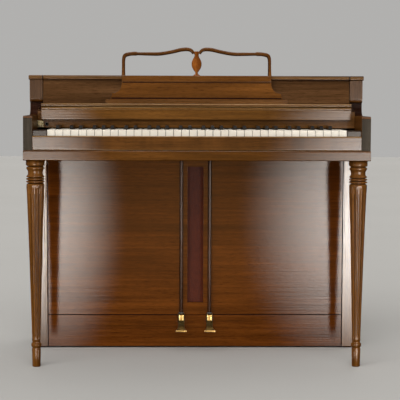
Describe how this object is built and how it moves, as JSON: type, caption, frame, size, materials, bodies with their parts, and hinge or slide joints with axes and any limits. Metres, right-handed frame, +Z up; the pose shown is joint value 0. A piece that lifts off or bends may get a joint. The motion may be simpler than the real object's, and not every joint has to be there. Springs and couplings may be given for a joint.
{
  "type": "electronic piano",
  "caption": "Console electronic piano in walnut with turned legs, openwork music desk, sliding fallboard, hinged top, brass pedals and a narrow cloth grille.",
  "frame": {"origin": "floor level, at the middle of the piano's width and depth", "axes": "+X along the keyboard to the treble end, +Y from the player to the back, +Z up"},
  "size_m": [1.038, 0.52, 0.9647],
  "materials": {
    "walnut": "satin lacquer, red-brown",
    "walnut_dark": "satin lacquer, dark",
    "hardboard": "matte, unfinished",
    "natural_plastic": "glossy ivory",
    "sharp_plastic": "glossy black",
    "brass": "polished, a little tarnished",
    "steel": "plain",
    "nickel": "polished nickel plate",
    "spruce": "bare, pale",
    "cream_plastic": "moulded, cream",
    "grille_cloth": "woven, dark red-brown",
    "speaker_paper": "dull black",
    "rubber": "matte black"
  },
  "bodies": {
    "case": {"keybed": "walnut", "key_slip": "walnut", "fixed_shelf": "walnut", "lid_rear_rail": "walnut", "plinth_rail": "walnut", "grille_frame": "walnut", "upper_side_left": "walnut", "upper_side_right": "walnut", "lower_side_left": "walnut", "lower_side_right": "walnut", "lower_panel_left": "walnut", "lower_panel_right": "walnut", "lid_end_left": "walnut", "lid_end_right": "walnut", "leg_left": "walnut", "leg_right": "walnut", "nameboard": "walnut_dark", "key_block_left": "walnut_dark", "key_block_right": "walnut_dark", "back_panel": "hardboard", "bottom_board": "hardboard", "naturals_bass": "natural_plastic", "naturals_treble": "natural_plastic", "sharps_bass": "sharp_plastic", "sharps_treble": "sharp_plastic", "lid_hinge": "brass", "pedal_bracket": "steel", "reed_bar": "steel", "amplifier": "steel", "headphone_jack": "nickel", "key_frame": "spruce", "hammer_rail": "spruce", "control_plate": "cream_plastic", "grille_cloth": "grille_cloth", "speaker": "speaker_paper", "cord_gland": "rubber"},
    "top_cover": {"lid": "walnut", "upper_front_panel": "walnut", "desk_ledge": "walnut", "desk_panel": "walnut", "desk_crest": "walnut", "desk_ornament": "walnut"},
    "fallboard": {"fallboard": "walnut"},
    "pedal_left": {"pedal_left": "brass"},
    "pedal_right": {"pedal_right": "brass"},
    "pedal_rod_left": {"pedal_rod_left": "walnut_dark"},
    "pedal_rod_right": {"pedal_rod_right": "walnut_dark"},
    "volume_knob": {"volume_knob": "cream_plastic"},
    "key_c": {"key_c": "natural_plastic"},
    "key_d": {"key_d": "natural_plastic"},
    "key_e": {"key_e": "natural_plastic"},
    "key_f": {"key_f": "natural_plastic"},
    "key_g": {"key_g": "natural_plastic"},
    "key_a": {"key_a": "natural_plastic"},
    "key_b": {"key_b": "natural_plastic"},
    "key_c_sharp": {"key_c_sharp": "sharp_plastic"},
    "key_d_sharp": {"key_d_sharp": "sharp_plastic"},
    "key_f_sharp": {"key_f_sharp": "sharp_plastic"},
    "key_g_sharp": {"key_g_sharp": "sharp_plastic"},
    "key_a_sharp": {"key_a_sharp": "sharp_plastic"}
  },
  "joints": [
    {"name": "top_cover_hinge", "type": "hinge", "parent": "case", "child": "top_cover", "pos_m": [0, 0.237, 0.88], "axis": [-1, 0, 0], "range_deg": [0, 75]},
    {"name": "fallboard_slide", "type": "slide", "parent": "case", "child": "fallboard", "axis": [0, -1, 0], "range_m": [0, 0.137]},
    {"name": "volume_turn", "type": "hinge", "parent": "case", "child": "volume_knob", "pos_m": [-0.47975, -0.0987, 0.728], "axis": [0, -1, 0], "range_deg": [-280, 0]},
    {"name": "key_c_press", "type": "hinge", "parent": "case", "child": "key_c", "pos_m": [0, 0.01, 0.691], "axis": [1, 0, 0], "range_deg": [0, 2.2], "stiffness_Nm_per_rad": 0.8, "springref_deg": -20.05},
    {"name": "key_d_press", "type": "hinge", "parent": "case", "child": "key_d", "pos_m": [0, 0.01, 0.691], "axis": [1, 0, 0], "range_deg": [0, 2.2], "stiffness_Nm_per_rad": 0.8, "springref_deg": -20.05},
    {"name": "key_e_press", "type": "hinge", "parent": "case", "child": "key_e", "pos_m": [0, 0.01, 0.691], "axis": [1, 0, 0], "range_deg": [0, 2.2], "stiffness_Nm_per_rad": 0.8, "springref_deg": -20.05},
    {"name": "key_f_press", "type": "hinge", "parent": "case", "child": "key_f", "pos_m": [0, 0.01, 0.691], "axis": [1, 0, 0], "range_deg": [0, 2.2], "stiffness_Nm_per_rad": 0.8, "springref_deg": -20.05},
    {"name": "key_g_press", "type": "hinge", "parent": "case", "child": "key_g", "pos_m": [0, 0.01, 0.691], "axis": [1, 0, 0], "range_deg": [0, 2.2], "stiffness_Nm_per_rad": 0.8, "springref_deg": -20.05},
    {"name": "key_a_press", "type": "hinge", "parent": "case", "child": "key_a", "pos_m": [0, 0.01, 0.691], "axis": [1, 0, 0], "range_deg": [0, 2.2], "stiffness_Nm_per_rad": 0.8, "springref_deg": -20.05},
    {"name": "key_b_press", "type": "hinge", "parent": "case", "child": "key_b", "pos_m": [0, 0.01, 0.691], "axis": [1, 0, 0], "range_deg": [0, 2.2], "stiffness_Nm_per_rad": 0.8, "springref_deg": -20.05},
    {"name": "key_c_sharp_press", "type": "hinge", "parent": "case", "child": "key_c_sharp", "pos_m": [0, 0.01, 0.691], "axis": [1, 0, 0], "range_deg": [0, 2.6], "stiffness_Nm_per_rad": 0.8, "springref_deg": -20.05},
    {"name": "key_d_sharp_press", "type": "hinge", "parent": "case", "child": "key_d_sharp", "pos_m": [0, 0.01, 0.691], "axis": [1, 0, 0], "range_deg": [0, 2.6], "stiffness_Nm_per_rad": 0.8, "springref_deg": -20.05},
    {"name": "key_f_sharp_press", "type": "hinge", "parent": "case", "child": "key_f_sharp", "pos_m": [0, 0.01, 0.691], "axis": [1, 0, 0], "range_deg": [0, 2.6], "stiffness_Nm_per_rad": 0.8, "springref_deg": -20.05},
    {"name": "key_g_sharp_press", "type": "hinge", "parent": "case", "child": "key_g_sharp", "pos_m": [0, 0.01, 0.691], "axis": [1, 0, 0], "range_deg": [0, 2.6], "stiffness_Nm_per_rad": 0.8, "springref_deg": -20.05},
    {"name": "key_a_sharp_press", "type": "hinge", "parent": "case", "child": "key_a_sharp", "pos_m": [0, 0.01, 0.691], "axis": [1, 0, 0], "range_deg": [0, 2.6], "stiffness_Nm_per_rad": 0.8, "springref_deg": -20.05},
    {"name": "pedal_left_press", "type": "hinge", "parent": "case", "child": "pedal_left", "pos_m": [-0.0455, 0.115, 0.098], "axis": [1, 0, 0], "range_deg": [0, 4.6], "stiffness_Nm_per_rad": 12, "springref_deg": -8.59},
    {"name": "pedal_rod_left_pull", "type": "slide", "parent": "case", "child": "pedal_rod_left", "axis": [0, 0, -1], "range_m": [0, 0.004]},
    {"name": "pedal_right_press", "type": "hinge", "parent": "case", "child": "pedal_right", "pos_m": [0.0455, 0.115, 0.098], "axis": [1, 0, 0], "range_deg": [0, 4.6], "stiffness_Nm_per_rad": 12, "springref_deg": -8.59},
    {"name": "pedal_rod_right_pull", "type": "slide", "parent": "case", "child": "pedal_rod_right", "axis": [0, 0, -1], "range_m": [0, 0.004]}
  ],
  "couplings": [
    {"joint": "pedal_rod_left_pull", "follows": "pedal_left_press", "m_per_rad": 0.043},
    {"joint": "pedal_rod_right_pull", "follows": "pedal_right_press", "m_per_rad": 0.043}
  ]
}
